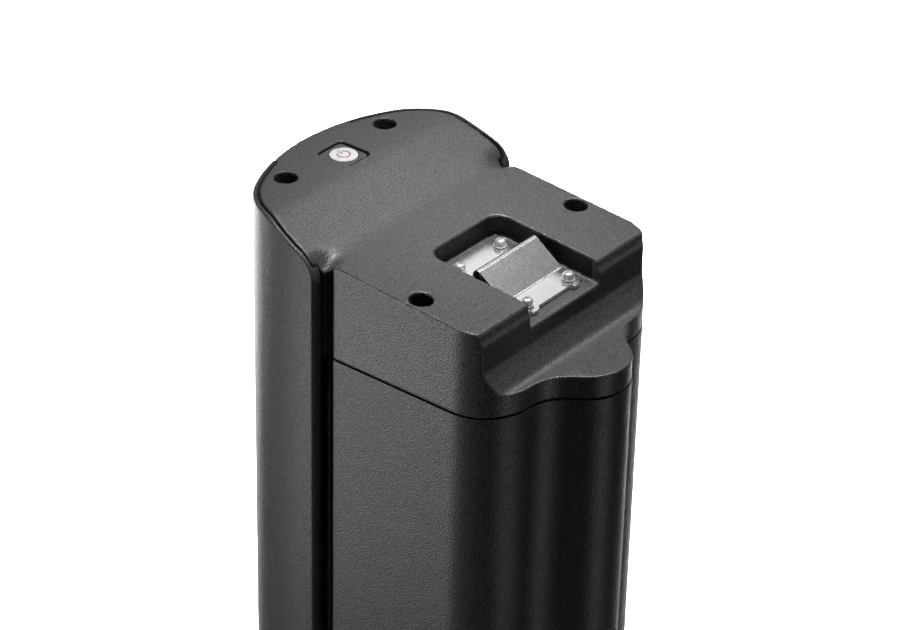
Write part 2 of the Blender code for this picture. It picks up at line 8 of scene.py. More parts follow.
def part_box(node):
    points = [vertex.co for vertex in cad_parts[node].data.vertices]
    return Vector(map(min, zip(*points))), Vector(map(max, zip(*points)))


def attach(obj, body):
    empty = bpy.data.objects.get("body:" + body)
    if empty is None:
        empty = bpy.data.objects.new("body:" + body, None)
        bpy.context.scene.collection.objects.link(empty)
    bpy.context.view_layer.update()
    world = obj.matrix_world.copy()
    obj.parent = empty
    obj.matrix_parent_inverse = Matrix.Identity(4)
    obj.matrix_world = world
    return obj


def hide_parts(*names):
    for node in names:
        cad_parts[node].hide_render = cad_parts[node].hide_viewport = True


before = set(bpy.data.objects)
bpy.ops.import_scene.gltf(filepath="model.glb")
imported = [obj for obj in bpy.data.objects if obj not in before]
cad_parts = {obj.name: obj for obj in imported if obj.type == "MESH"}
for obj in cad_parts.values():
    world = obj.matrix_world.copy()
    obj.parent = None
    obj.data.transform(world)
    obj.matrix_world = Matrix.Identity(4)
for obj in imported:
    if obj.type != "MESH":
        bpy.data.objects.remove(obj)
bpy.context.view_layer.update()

# Shapes are worked out in millimetres and written in metres; lights and camera are in metres.
MM = 0.001
HOUSING, KEY, PORT = "housing", "key", "port_cover"


def node_box(node):
    """Lowest and highest corner of a CAD node, in millimetres."""
    low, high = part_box(node)
    return low / MM, high / MM


CASE_LOW, CASE_HIGH = node_box("main_case")
COVER_LOW, COVER_HIGH = node_box("outer_cover")
CAP_LOW, CAP_HIGH = node_box("top_cap")
FOOT_HEIGHT = node_box("bottom_cap")[1].z
BRACKET_HALF_WIDTH = node_box("latch_bracket")[1].x
KEY_LOW, KEY_HIGH = node_box("power_button")
LENS_LOW, LENS_HIGH = node_box("button_lens")

# plan of the D-shaped back: three arcs, each starting at an angle off +Y
D_APEX_Y = COVER_HIGH.y
D_RADII = (68.9, 26.0, 63.3)
D_ANGLES = (0.0, 28.6, 70.0)
COVER_WALL = 1.4
CASE_UNDER_COVER = 2.3
# the case stands a little proud of the cap, and closes on its seam
CASE_PROUD = 0.12
CASE_RISE = 0.15

# plan of the body and its nose
BODY_HALF_WIDTH = 43.5
GROOVE_BACK_Y = 20.4
GROOVE_FRONT_Y = 14.9
GROOVE_EDGE = 1.2
FLAT_SIDE_YS = (-8.0, -31.0)
# nose arcs from the lobe's tip to the side face: radius (negative where hollow) and the
# angles of the surface normal off -Y at both ends; a straight flank follows the first arc
NOSE_ARCS = [(13.8, 0.0, 53.0), (-14.8, 53.0, 1.5), (20.4, 1.5, 32.0), (16.2, 32.0, 90.0)]
NOSE_STEPS = 20
WALL = 2.5

# top surface of the cap: the main face slopes up to a ramp, and the ramp to the D plane
MAIN_SLOPE = 0.0752
MAIN_HEIGHT = 375.47
RAMP_FOOT_Y = 17.45
RAMP_HEAD_Y = 39.05
PACK_HEIGHT = CAP_HIGH.z
TAB_HALF_WIDTH = 17.2
TAB_DEPTH = 12.0
TAB_GAP = 0.4
RAMP_BLEND = 16.0
CAP_HOLLOW_TOP = 348.6

RECESS_HALF_WIDTH = 17.2
RECESS_BACK_Y = -0.65
RECESS_CORNER = 5.5
RECESS_DEPTH = 7.69
SHEET = 1.2
GAP = 0.3
BRACKET_SCREWS = [(-10.1, -7.85), (10.1, -7.85), (-10.3, -34.15), (10.3, -34.15)]
CAP_SCREWS = [(-23.93, 50.65), (23.93, 50.65), (-38.4, -15.66), (38.4, -15.66)]
WELL_RADIUS = 3.76
WELL_FLOOR = 350.0
KEY_Y = (KEY_LOW.y + KEY_HIGH.y) / 2
WINDOW_HALF = (6.0, 6.5)
WINDOW_LOW = 371.0
KEY_ROOM = ((-12.5, 40.0, 340.0), (12.5, 55.0, 383.0))
LENS_RADIUS = (LENS_HIGH.x - LENS_LOW.x) / 2

# where the side groove runs out in the cap's top, the surface dips
DIP_CENTRE = (45.0, 17.8)
DIP_SIZE = (5.0, 3.2)
DIP_DEPTH = 4.0
DIP_FADE = 14.0

# bounds for cutters, well clear of the pack
CLEAR_HEIGHT = 400.0
CLEAR_FRONT_Y = -70.0
CLEAR_BACK_Y = 75.0
CLEAR_SIDE_X = 60.0

SMOOTH_ANGLE = 35


# ---------------------------------------------------------------- meshes

def new_object(name, bm):
    """Mesh object from a bmesh in millimetres, smooth except at its sharp edges."""
    bmesh.ops.recalc_face_normals(bm, faces=bm.faces)
    bmesh.ops.scale(bm, vec=(MM, MM, MM), verts=bm.verts)
    mesh = bpy.data.meshes.new(name)
    bm.to_mesh(mesh)
    bm.free()
    mesh.shade_smooth()
    mesh.set_sharp_from_angle(angle=math.radians(SMOOTH_ANGLE))
    obj = bpy.data.objects.new(name, mesh)
    bpy.context.scene.collection.objects.link(obj)
    return obj


def apply_modifiers(obj, smooth_angle=SMOOTH_ANGLE):
    """Replace an object's mesh by what its modifiers make of it."""
    bpy.context.view_layer.update()
    depsgraph = bpy.context.evaluated_depsgraph_get()
    mesh = bpy.data.meshes.new_from_object(obj.evaluated_get(depsgraph), depsgraph=depsgraph)
    obj.modifiers.clear()
    obj.data = mesh
    mesh.shade_smooth()
    mesh.set_sharp_from_angle(angle=math.radians(smooth_angle))
    return obj


def combine(obj, operation, *others):
    """Boolean with other objects, which are used up."""
    for other in others:
        mod = obj.modifiers.new(other.name, "BOOLEAN")
        mod.operation = operation
        mod.solver = "EXACT"
        mod.object = other
    apply_modifiers(obj)
    for other in others:
        bpy.data.objects.remove(other, do_unlink=True)
    return obj


def bevel(obj, width, segments=3, angle=40):
    """Round the sharp edges, with normals that keep the flat faces flat."""
    mod = obj.modifiers.new("edges", "BEVEL")
    mod.width = width * MM
    mod.segments = segments
    mod.limit_method = "ANGLE"
    mod.angle_limit = math.radians(angle)
    apply_modifiers(obj)
    weighted = obj.modifiers.new("flat_faces", "WEIGHTED_NORMAL")
    weighted.keep_sharp = True
    weighted.weight = 100
    return apply_modifiers(obj)


def soften(obj, voxel, rounds):
    """Even out a hard-edged solid so that each edge gets a small moulded radius."""
    remesh = obj.modifiers.new("remesh", "REMESH")
    remesh.mode = "VOXEL"
    remesh.voxel_size = voxel * MM
    smooth = obj.modifiers.new("smooth", "SMOOTH")
    smooth.factor = 0.5
    smooth.iterations = rounds
    return apply_modifiers(obj, 80)


def ring_faces(bm, rings):
    """Quads between neighbouring closed rings of vertices."""
    for a, b in zip(rings[:-1], rings[1:]):
        for k in range(len(a)):
            n = (k + 1) % len(a)
            bm.faces.new((a[k], a[n], b[n], b[k]))


def prism(name, outline, low, high):
    """Upright prism on an (x, y) outline; low and high are heights or functions of x and y."""
    bm = bmesh.new()

    def ring(height):
        return [bm.verts.new((x, y, height(x, y) if callable(height) else height))
                for x, y in outline]

    foot, head = ring(low), ring(high)
    bm.faces.new(list(reversed(foot)))
    bm.faces.new(head)
    ring_faces(bm, [foot, head])
    return new_object(name, bm)


def side_prism(name, profile, low_x, high_x):
    """Prism along X on a (y, z) profile."""
    bm = bmesh.new()
    ends = [[bm.verts.new((x, y, z)) for y, z in profile] for x in (low_x, high_x)]
    bm.faces.new(list(reversed(ends[0])))
    bm.faces.new(ends[1])
    ring_faces(bm, ends)
    return new_object(name, bm)


def box(name, low, high):
    outline = [(low[0], low[1]), (high[0], low[1]), (high[0], high[1]), (low[0], high[1])]
    return prism(name, outline, low[2], high[2])


def turned(name, profile, centre, sides=40):
    """Turned piece about a vertical axis; profile is (radius, height) from bottom to top."""
    bm = bmesh.new()
    rings = []
    for radius, height in profile:
        count = sides if radius else 1
        ring = []
        for k in range(count):
            turn = 2 * math.pi * k / count
            ring.append(bm.verts.new((centre[0] + radius * math.cos(turn),
                                      centre[1] + radius * math.sin(turn), centre[2] + height)))
        rings.append(ring)
    for a, b in zip(rings[:-1], rings[1:]):
        for k in range(sides):
            n = (k + 1) % sides
            corners = [a[k % len(a)], a[n % len(a)], b[n % len(b)], b[k % len(b)]]
            bm.faces.new(list(dict.fromkeys(corners)))
    return new_object(name, bm)


def rod(name, centre, low, high, radius, sides=40):
    return turned(name, [(0, low), (radius, low), (radius, high), (0, high)], (*centre, 0), sides)


# ---------------------------------------------------------------- outlines

def d_arcs():
    """Centre, radius and starting angle of each arc of the D."""
    x, y, radius = 0.0, D_APEX_Y - D_RADII[0], D_RADII[0]
    arcs = [(x, y, radius, D_ANGLES[0])]
    for angle, new_radius in zip(D_ANGLES[1:], D_RADII[1:]):
        turn = math.radians(angle)
        x += (radius - new_radius) * math.sin(turn)
        y += (radius - new_radius) * math.cos(turn)
        radius = new_radius
        arcs.append((x, y, radius, angle))
    return arcs


def d_half(inset, end_y, counts=(26, 22, 22)):
    """Right half of the D, inset from the cover's surface, from the apex to end_y on the flank."""
    arcs = d_arcs()
    last_x, last_y, last_radius, _ = arcs[-1]
    end_turn = math.acos((end_y - last_y) / (last_radius - inset))
    stops = list(D_ANGLES[1:]) + [math.degrees(end_turn)]
    points = []
    for (x, y, radius, start), stop, count in zip(arcs, stops, counts):
        for k in range(count):
            turn = math.radians(start + (stop - start) * k / count)
            points.append((x + (radius - inset) * math.sin(turn),
                           y + (radius - inset) * math.cos(turn)))
    points.append((last_x + (last_radius - inset) * math.sin(end_turn), end_y))
    return points


def nose_normal(angle):
    """Unit vector at an angle in degrees off -Y."""
    turn = math.radians(angle)
    return math.sin(turn), -math.cos(turn)


def flank_length():
    """Length of the lobe's straight flank that brings the last arc to the side face."""
    reach = sum(radius * (nose_normal(stop)[0] - nose_normal(start)[0])
                for radius, start, stop in NOSE_ARCS)
    return (BODY_HALF_WIDTH - reach) / -nose_normal(NOSE_ARCS[0][2])[1]


def nose_half(inset):
    """Right half of the body's front, from the side face round to the lobe's tip."""
    x, y = 0.0, -D_APEX_Y
    points = []
    for number, (radius, start, stop) in enumerate(NOSE_ARCS):
        normal = nose_normal(start)
        cx, cy = x - radius * normal[0], y - radius * normal[1]
        for k in range(0 if number < 2 else 1, NOSE_STEPS + 1):
            normal = nose_normal(start + (stop - start) * k / NOSE_STEPS)
            points.append((cx + (radius - inset) * normal[0], cy + (radius - inset) * normal[1]))
        x, y = cx + radius * normal[0], cy + radius * normal[1]
        if number == 0:
            x -= flank_length() * normal[1]
            y += flank_length() * normal[0]
    return list(reversed(points))


# side groove behind the flat side face, from the back to the front, with a small double bead
CASE_GROOVE = [(42.0, 20.4), (42.0, 18.1), (42.6, 18.0), (42.75, 17.75), (42.6, 17.5), (42.2, 17.45),
               (42.2, 17.25), (42.8, 17.15), (43.0, 16.8), (42.8, 16.45), (42.0, 16.3), (42.0, 15.3),
               (42.3, 14.95), (42.95, 14.9), (43.25, 14.8), (43.43, 14.6), (43.5, 14.3)]
# on the cap a third bead fills the groove next to the cover's lip
CAP_GROOVE = [(44.6, 20.3), (44.2, 19.9), (44.2, 18.2), (44.0, 17.75), (43.4, 17.5), (42.2, 17.5),
              (42.2, 17.0), (42.9, 17.0), (43.1, 16.6), (42.9, 16.2), (42.0, 16.1), (42.0, 15.3),
              (42.3, 14.95), (42.95, 14.9), (43.25, 14.8), (43.43, 14.6), (43.5, 14.3)]
PLAIN_GROOVE = [(42.0, 20.4), (42.0, 14.9), (42.9, 14.9), (43.5, 14.3)]


def mirrored(half):
    """Closed outline from its right half, which runs from the back of the middle to the front."""
    return half + [(-x, y) for x, y in reversed(half[1:-1])]


def body_outline(inset=0.0, groove=PLAIN_GROOVE):
    """Plan of the body inside the cover; only the plain groove follows the inset."""
    if groove is PLAIN_GROOVE:
        middle_y = (GROOVE_BACK_Y + GROOVE_FRONT_Y) / 2
        groove = [(x - inset, y + (inset if y > middle_y else -inset)) for x, y in groove]
    side = BODY_HALF_WIDTH - inset
    flat = [(side, GROOVE_FRONT_Y - GROOVE_EDGE - inset)] + [(side, y) for y in FLAT_SIDE_YS]
    back = d_half(CASE_UNDER_COVER + inset, GROOVE_BACK_Y + inset)
    return mirrored(back + groove + flat + nose_half(inset))


def rounded_rectangle(half_x, half_y, radius, cx=0.0, cy=0.0, steps=8):
    """Closed outline from the right-hand back corner round to the right-hand front one."""
    points = []
    for sx, sy, start in ((1, 1, 0), (-1, 1, 90), (-1, -1, 180), (1, -1, 270)):
        for k in range(steps + 1):
            turn = math.radians(start + 90 * k / steps)
            points.append((cx + sx * (half_x - radius) + radius * math.cos(turn),
                           cy + sy * (half_y - radius) + radius * math.sin(turn)))
    return points


def fillet_path(corners, steps=8):
    """Polyline through (y, z, radius) corners, with each corner rounded to its radius."""
    points = []
    for k, (y, z, radius) in enumerate(corners):
        here = Vector((y, z))
        if radius == 0 or k in (0, len(corners) - 1):
            points.append((y, z))
            continue
        before = (Vector(corners[k - 1][:2]) - here).normalized()
        after = (Vector(corners[k + 1][:2]) - here).normalized()
        half = before.angle(after) / 2
        reach = radius / math.tan(half)
        centre = here + (before + after).normalized() * radius / math.sin(half)
        a = here + before * reach - centre
        b = here + after * reach - centre
        sweep = a.angle_signed(b)
        for s in range(steps + 1):
            turn = Matrix.Rotation(-sweep * s / steps, 2)
            points.append(tuple(centre + turn @ a))
    return points


def main_face(x, y):
    """Height of the cap's main sloping face."""
    return MAIN_HEIGHT + MAIN_SLOPE * y


def recess_floor(x, y):
    return main_face(x, y) - RECESS_DEPTH


def top_profile():
    """Y-Z section of the cap's top: ledge, stepped nose, main face, ramp and D plane."""
    below = 300.0
    ledge = [(CLEAR_FRONT_Y, 351.7, 0), (-52, 351.2, 0), (-45.2, 350.7, 2.8)]
    steps = [(-42.6, 355.6, 1.6), (-41.3, 358.9, 2.0), (-41.0, 368.0, 1.2), (-40.3, 369.6, 1.2),
             (-39.9, 372.45, 1.3)]
    ramp = [(RAMP_FOOT_Y, main_face(0, RAMP_FOOT_Y), RAMP_BLEND), (RAMP_HEAD_Y, PACK_HEIGHT, RAMP_BLEND)]
    return fillet_path([(CLEAR_FRONT_Y, below, 0), *ledge, *steps, *ramp,
                        (CLEAR_BACK_Y, PACK_HEIGHT, 0), (CLEAR_BACK_Y, below, 0)])


def profile_height(y, profile):
    """Height of the top profile at y, for y behind the nose."""
    for (y0, z0), (y1, z1) in zip(profile[:-1], profile[1:]):
        if y0 <= y <= y1 and y1 > y0:
            return z0 + (z1 - z0) * (y - y0) / (y1 - y0)
    return PACK_HEIGHT


# ---------------------------------------------------------------- shells

COVER_END_Y = 18.05
COVER_LIP = 3.7
COVER_BOTTOM = COVER_LOW.z
COVER_COUNTS = (26, 40, 50)
INNER_CORNER = 0.4
RIM_ROUND = 10.0
RIM_BLEND = 3.0
RIM_EDGE = 1.1
CORNER_ROUND = 1.0


def rim_height(y):
    """Height of the cover's rim: it follows the cap and rounds down at the flank's end."""
    slope = (PACK_HEIGHT - main_face(0, RAMP_FOOT_Y)) / (RAMP_HEAD_Y - RAMP_FOOT_Y)
    tilt = math.atan(slope)
    centre_y = COVER_END_Y + RIM_ROUND
    centre_z = PACK_HEIGHT - slope * (RAMP_HEAD_Y - centre_y) - RIM_ROUND / math.cos(tilt)
    if y < centre_y - RIM_ROUND * math.sin(tilt):
        short = min(RIM_ROUND, centre_y - y)
        return centre_z + math.sqrt(RIM_ROUND ** 2 - short ** 2)
    over = y - RAMP_HEAD_Y
    if over > RIM_BLEND:
        return PACK_HEIGHT
    if over < -RIM_BLEND:
        return PACK_HEIGHT + slope * over
    return PACK_HEIGHT - slope * (RIM_BLEND - over) ** 2 / (4 * RIM_BLEND)


def make_cover():
    """D-shaped skin with turned-in edges, a rounded rim and a notch for the cap's tab."""
    inner_end_y = COVER_END_Y + COVER_WALL
    outer = d_half(0, COVER_END_Y + CORNER_ROUND, COVER_COUNTS)
    inner = d_half(COVER_WALL, inner_end_y + INNER_CORNER, COVER_COUNTS)
    edge_x = outer[-1][0]
    tip = edge_x - COVER_LIP
    corner_steps = 5
    for k in range(1, corner_steps + 1):
        part = k / corner_steps
        turn = math.pi / 2 * part
        outer.append((edge_x - CORNER_ROUND * (1 - math.cos(turn)),
                      COVER_END_Y + CORNER_ROUND * (1 - math.sin(turn))))
        inner.append((edge_x - COVER_WALL - INNER_CORNER * part,
                      inner_end_y + INNER_CORNER * (1 - part)))
    outer.append((tip, COVER_END_Y))
    inner.append((tip, inner_end_y))
    half = list(zip(outer, inner))
    whole = [((-a[0], a[1]), (-b[0], b[1])) for a, b in reversed(half[1:])] + half
    bm = bmesh.new()
    rows = []
    for a, b in whole:
        a, b = Vector(a), Vector(b)
        across = (b - a).normalized()
        row = [bm.verts.new((*a, COVER_BOTTOM)), bm.verts.new((*b, COVER_BOTTOM)),
               bm.verts.new((*b, rim_height(b.y) - 0.25)),
               bm.verts.new((*(b - across * 0.15), rim_height(b.y) - 0.05))]
        for k in range(5):
            turn = math.radians(22.5 * k)
            place = a + across * RIM_EDGE * (1 - math.sin(turn))
            row.append(bm.verts.new((*place, rim_height(place.y) - RIM_EDGE * (1 - math.cos(turn)))))
        rows.append(row)
    ring_faces(bm, rows)
    bm.faces.new(rows[0])
    bm.faces.new(list(reversed(rows[-1])))
    cover = new_object("cover_skin", bm)
    notch = TAB_HALF_WIDTH + TAB_GAP
    combine(cover, "DIFFERENCE",
            box("cover_notch", (-notch, 50, PACK_HEIGHT - TAB_DEPTH - TAB_GAP),
                (notch, CLEAR_BACK_Y, CLEAR_HEIGHT)))
    return bevel(cover, 0.2, 2, 60)


def d_slice(inset, half_width, count=24):
    """Middle of the D's back, half_width to either side."""
    radius = D_RADII[0] - inset
    limit = math.asin(half_width / radius)
    points = []
    for k in range(-count, count + 1):
        turn = limit * k / count
        points.append((radius * math.sin(turn), D_APEX_Y - D_RADII[0] + radius * math.cos(turn)))
    return points


def make_cap():
    """Top cap with its tab, recess, key window and screw wells, in one moulded skin."""
    profile = top_profile()
    cap = prism("cap_shell", body_outline(groove=CAP_GROOVE), CAP_LOW.z, PACK_HEIGHT + 6)
    tab = d_slice(0.6, TAB_HALF_WIDTH)
    tab += [(x, y - 6) for x, y in reversed(tab)]
    combine(cap, "UNION", prism("cap_tab", tab, PACK_HEIGHT - TAB_DEPTH, PACK_HEIGHT + 6))
    combine(cap, "INTERSECT", side_prism("cap_top", profile, -CLEAR_SIDE_X, CLEAR_SIDE_X))
    combine(cap, "DIFFERENCE",
            prism("cap_hollow", body_outline(WALL), CAP_LOW.z - 8, CAP_HOLLOW_TOP))
    reach = 40
    middle_y = RECESS_BACK_Y - reach
    slot = rounded_rectangle(RECESS_HALF_WIDTH, reach, RECESS_CORNER, 0, middle_y, 10)
    recess = [(x, y) for x, y in slot if y > middle_y]
    recess += [(-RECESS_HALF_WIDTH, CLEAR_FRONT_Y), (RECESS_HALF_WIDTH, CLEAR_FRONT_Y)]
    window = rounded_rectangle(*WINDOW_HALF, 1.8, 0, KEY_Y)
    combine(cap, "DIFFERENCE", prism("recess", recess, recess_floor, CLEAR_HEIGHT),
            prism("key_window", window, WINDOW_LOW, CLEAR_HEIGHT), box("key_room", *KEY_ROOM))
    wells = [rod(f"cap_well_{k}", place, WELL_FLOOR - 4, CLEAR_HEIGHT, WELL_RADIUS)
             for k, place in enumerate(CAP_SCREWS)]
    combine(cap, "DIFFERENCE", *wells)
    soften(cap, 0.4, 5)
    for vert in cap.data.vertices:
        x, y, z = vert.co / MM
        away = ((abs(x) - DIP_CENTRE[0]) / DIP_SIZE[0]) ** 2 + ((y - DIP_CENTRE[1]) / DIP_SIZE[1]) ** 2
        depth = profile_height(y, profile) - z
        fade = max(0.0, 1 - depth / DIP_FADE)
        vert.co.z -= DIP_DEPTH * math.exp(-away) * fade * MM
    return cap


def paint_recess_shade(cap):
    """Paint shade on the recess walls below their top edge: a darker, less glossy finish than the outer
    faces stands in for the shade in the recess.
    """
    margin, front_y, edge = 0.3, -38, 0.8
    cap.data.materials.append(RECESS_PAINTED_SHADE)
    for face in cap.data.polygons:
        x, y, z = face.center / MM
        inside = abs(x) < RECESS_HALF_WIDTH + margin and front_y < y < RECESS_BACK_Y + margin
        if inside and z < main_face(x, y) - edge and face.normal.z < 0.5:
            face.material_index = 1


def make_case():
    case = prism("case_tube", body_outline(-CASE_PROUD, CASE_GROOVE),
                 CASE_LOW.z, CASE_HIGH.z + CASE_RISE)
    bore = prism("case_bore", body_outline(WALL), CASE_LOW.z - 5, CASE_HIGH.z + 5)
    combine(case, "DIFFERENCE", bore)
    return bevel(case, 0.25, 2, 60)


# ---------------------------------------------------------------- latch

def strip_section(path, thickness):
    """Closed outline of a sheet of that thickness along a (y, z) centreline."""
    sides = [[], []]
    for k, point in enumerate(path):
        before = Vector(path[max(k - 1, 0)])
        after = Vector(path[min(k + 1, len(path) - 1)])
        along = (after - before).normalized()
        across = Vector((-along.y, along.x)) * thickness / 2
        sides[0].append(tuple(Vector(point) + across))
        sides[1].append(tuple(Vector(point) - across))
    return sides[0] + list(reversed(sides[1]))


BRACKET_EARS = [(-10.4, -35.3), (10.4, -35.3)]
EAR_RADIUS = 2.9


def sheet_low(x, y):
    """Underside of the bracket's flanges."""
    return recess_floor(x, y) + GAP


def sheet_high(x, y):
    return sheet_low(x, y) + SHEET


def make_bracket():
    """Bent sheet: rear flange, upright, hook sloping down to the front flange, and two ears."""
    lie = GAP + SHEET / 2
    path = fillet_path([(-2.45, lie, 0), (-16.5, lie, 0.9), (-16.5, 8.0, 1.05),
                        (-28.6, lie, 2.2), (-36.75, lie, 0)], 7)
    path = [(y - (h - lie) * MAIN_SLOPE, h + recess_floor(0, y)) for y, h in path]
    bracket = side_prism("latch_sheet", strip_section(path, SHEET),
                         -BRACKET_HALF_WIDTH, BRACKET_HALF_WIDTH)
    for k, place in enumerate(BRACKET_EARS):
        ear = rounded_rectangle(EAR_RADIUS, EAR_RADIUS, EAR_RADIUS - 0.01, *place)
        combine(bracket, "UNION", prism(f"ear_{k}", ear, sheet_low, sheet_high))
    return bevel(bracket, 0.16, 2)


def make_bracket_screw(number, place):
    """Pan head with a cross recess, on a spring washer and a flat washer."""
    seat = sheet_high(*place)
    head = turned(f"latch_screw_{number}", [
        (0, 0.9), (1.15, 0.9), (1.75, 0.95), (1.85, 1.1), (1.85, 1.6), (1.72, 2.0), (1.4, 2.35),
        (0.9, 2.56), (0, 2.65)], (*place, seat))
    for k, (half_x, half_y) in enumerate(((1.05, 0.2), (0.2, 1.05))):
        top = rounded_rectangle(half_x, half_y, 0.15, *place)
        combine(head, "DIFFERENCE", prism(f"cross_{k}", top, seat + 1.55, seat + 4))
    flat = turned(f"flat_washer_{number}", [(1.0, 0), (2.15, 0), (2.2, 0.05), (2.2, 0.32), (2.15, 0.38),
                                            (1.0, 0.38)], (*place, seat))
    spring = turned(f"spring_washer_{number}", [(0.9, 0.38), (1.8, 0.38), (1.84, 0.44), (1.84, 0.84),
                                                (1.8, 0.9), (0.9, 0.9)], (*place, seat))
    return [bevel(head, 0.06, 2, 50), flat, spring]


# ---------------------------------------------------------------- key

def make_key():
    top = KEY_HIGH.z
    half_x, half_y, off_middle = 5.45, 5.95, -0.1
    outline = rounded_rectangle(half_x, half_y, 1.6, off_middle, KEY_Y)
    key = prism("key_cap", outline, KEY_LOW.z, top)
    seat = rod("lens_seat", (0, KEY_Y), top - 1.2, top + 5, LENS_RADIUS + 0.12, 64)
    combine(key, "DIFFERENCE", seat)
    return bevel(key, 0.35, 3)


def make_lens():
    low = LENS_LOW.z - LENS_HIGH.z
    edge = [(LENS_RADIUS, -0.22), (LENS_RADIUS - 0.06, -0.08), (LENS_RADIUS - 0.22, 0)]
    profile = [(0, low), (LENS_RADIUS, low), *edge, (0, 0)]
    return turned("lens", profile, (0, KEY_Y, LENS_HIGH.z), 64)


def make_symbol():
    """Ring with a gap towards the back of the pack, and a bar in the gap."""
    inner, outer, gap = 1.75, 2.3, 32
    foot, head = LENS_HIGH.z - 0.1, LENS_HIGH.z + 0.02
    turns = [math.radians(90 + gap + (360 - 2 * gap) * k / 48) for k in range(49)]
    ring = [(outer * math.cos(t), KEY_Y + outer * math.sin(t)) for t in turns]
    ring += [(inner * math.cos(t), KEY_Y + inner * math.sin(t)) for t in reversed(turns)]
    bar = rounded_rectangle(0.26, 1.1, 0.2, 0, KEY_Y + 1.5)
    return prism("symbol_ring", ring, foot, head), prism("symbol_bar", bar, foot, head)


# ---------------------------------------------------------------- lower end

MOUTH_Y = -19.0
MOUTH_HALF = (24.0, 11.0)
FOOT_FLOOR = 3.0
FOOT_SCREW_SEAT = 24.6
CONTACT_X, PIN_X = 14.0, 3.0
FLAP_LOW, FLAP_HIGH = node_box("charge_port_cover")
SOCKET_LOW, SOCKET_HIGH = node_box("charge_socket")
SOCKET_Y = (SOCKET_LOW.y + SOCKET_HIGH.y) / 2
SOCKET_Z = (SOCKET_LOW.z + SOCKET_HIGH.z) / 2


def cross_rod(name, low_x, high_x, y, z, radius):
    """Rod along X."""
    obj = rod(name, (0, 0), low_x, high_x, radius)
    obj.data.transform(Matrix.Translation((0, y * MM, z * MM)) @ Matrix.Rotation(math.pi / 2, 4, "Y"))
    return obj


def make_foot():
    """Bottom cap with its flange, contact mouth, charge port and screw wells."""
    foot = prism("foot_shell", body_outline(), 0, FOOT_HEIGHT)
    flange = mirrored(d_half(0.4, 16.0) + [(BODY_HALF_WIDTH, GROOVE_FRONT_Y)] + nose_half(0))
    combine(foot, "UNION", prism("foot_flange", flange, 0, COVER_BOTTOM - 0.4))
    combine(foot, "DIFFERENCE", prism("foot_hollow", body_outline(WALL + 0.5), FOOT_FLOOR, 40))
    combine(foot, "UNION", prism("port_wall", rounded_rectangle(3.3, 13, 1, 40.8, 1), 1, 33.7))
    wells = [rod(f"foot_well_{k}", place, -5, FOOT_SCREW_SEAT + 0.4, WELL_RADIUS)
             for k, place in enumerate(CAP_SCREWS)]
    opening = rounded_rectangle(MOUTH_HALF[0] + GAP, MOUTH_HALF[1] + GAP, 1.5, 0, MOUTH_Y)
    pocket = box("flap_pocket", (41.3, FLAP_LOW.y - GAP, FLAP_LOW.z - GAP),
                 (50, FLAP_HIGH.y + GAP, FLAP_HIGH.z + GAP))
    combine(foot, "DIFFERENCE", prism("mouth", opening, -5, 8), pocket,
            cross_rod("socket_hole", 30, 50, SOCKET_Y, SOCKET_Z, 6.4), *wells)
    return bevel(foot, 0.5, 3)


def make_flap():
    """Charge port cover with a small finger lip at its lower edge."""
    half_y = (FLAP_HIGH.y - FLAP_LOW.y) / 2
    half_z = (FLAP_HIGH.z - FLAP_LOW.z) / 2
    outline = rounded_rectangle(half_y, half_z, 1.2, SOCKET_Y, (FLAP_HIGH.z + FLAP_LOW.z) / 2)
    flap = side_prism("port_flap", outline, FLAP_LOW.x, BODY_HALF_WIDTH - 0.1)
    lip = prism("flap_lip", rounded_rectangle(1.35, 4, 0.6, 43.25, SOCKET_Y),
                FLAP_LOW.z, FLAP_LOW.z + 1.6)
    combine(flap, "UNION", lip)
    return bevel(flap, 0.35, 3)


def make_connector():
    """Open block in the foot's mouth, with slots for the blades and holes for the pins."""
    def outline(grow, radius):
        return rounded_rectangle(MOUTH_HALF[0] + grow, MOUTH_HALF[1] + grow, radius, 0, MOUTH_Y)

    body = prism("contact_block", outline(0, 1.2), 0.8, 20.0)
    combine(body, "UNION", prism("contact_flange", outline(4, 2), FOOT_FLOOR + GAP, 6))
    combine(body, "DIFFERENCE", prism("contact_mouth", outline(-3, 1.5), -5, 15))
    slots = [box(f"blade_slot_{x:.0f}", (x - 1, MOUTH_Y - 5, 10), (x + 1, MOUTH_Y + 5, 25))
             for x in (-CONTACT_X, CONTACT_X)]
    holes = [rod(f"pin_hole_{x:.0f}", (x, MOUTH_Y), 10, 25, 1.1) for x in (-PIN_X, PIN_X)]
    combine(body, "DIFFERENCE", *slots, *holes)
    return bevel(body, 0.3, 2)


def make_cap_screw(name, place, seat, way):
    """Pan head with a hexagon socket; way is 1 with the head up and -1 with the head down."""
    shank = 16.5 if way > 0 else 12.8
    profile = [(0, -shank), (1.3, -shank), (1.9, -shank + 0.8), (1.9, -0.2), (1.9, 0), (3.2, 0),
               (3.3, 0.1), (3.3, 1.9), (3.0, 2.5), (2.4, 2.8), (0, 2.8)]
    screw = turned(name, [(r, way * h) for r, h in profile], (*place, seat))
    heights = sorted((seat + way * 1.2, seat + way * 5))
    turns = [math.pi * k / 3 for k in range(6)]
    hexagon = [(place[0] + 1.5 * math.cos(t), place[1] + 1.5 * math.sin(t)) for t in turns]
    return combine(screw, "DIFFERENCE", prism("socket", hexagon, *heights))


# ---------------------------------------------------------------- finishes

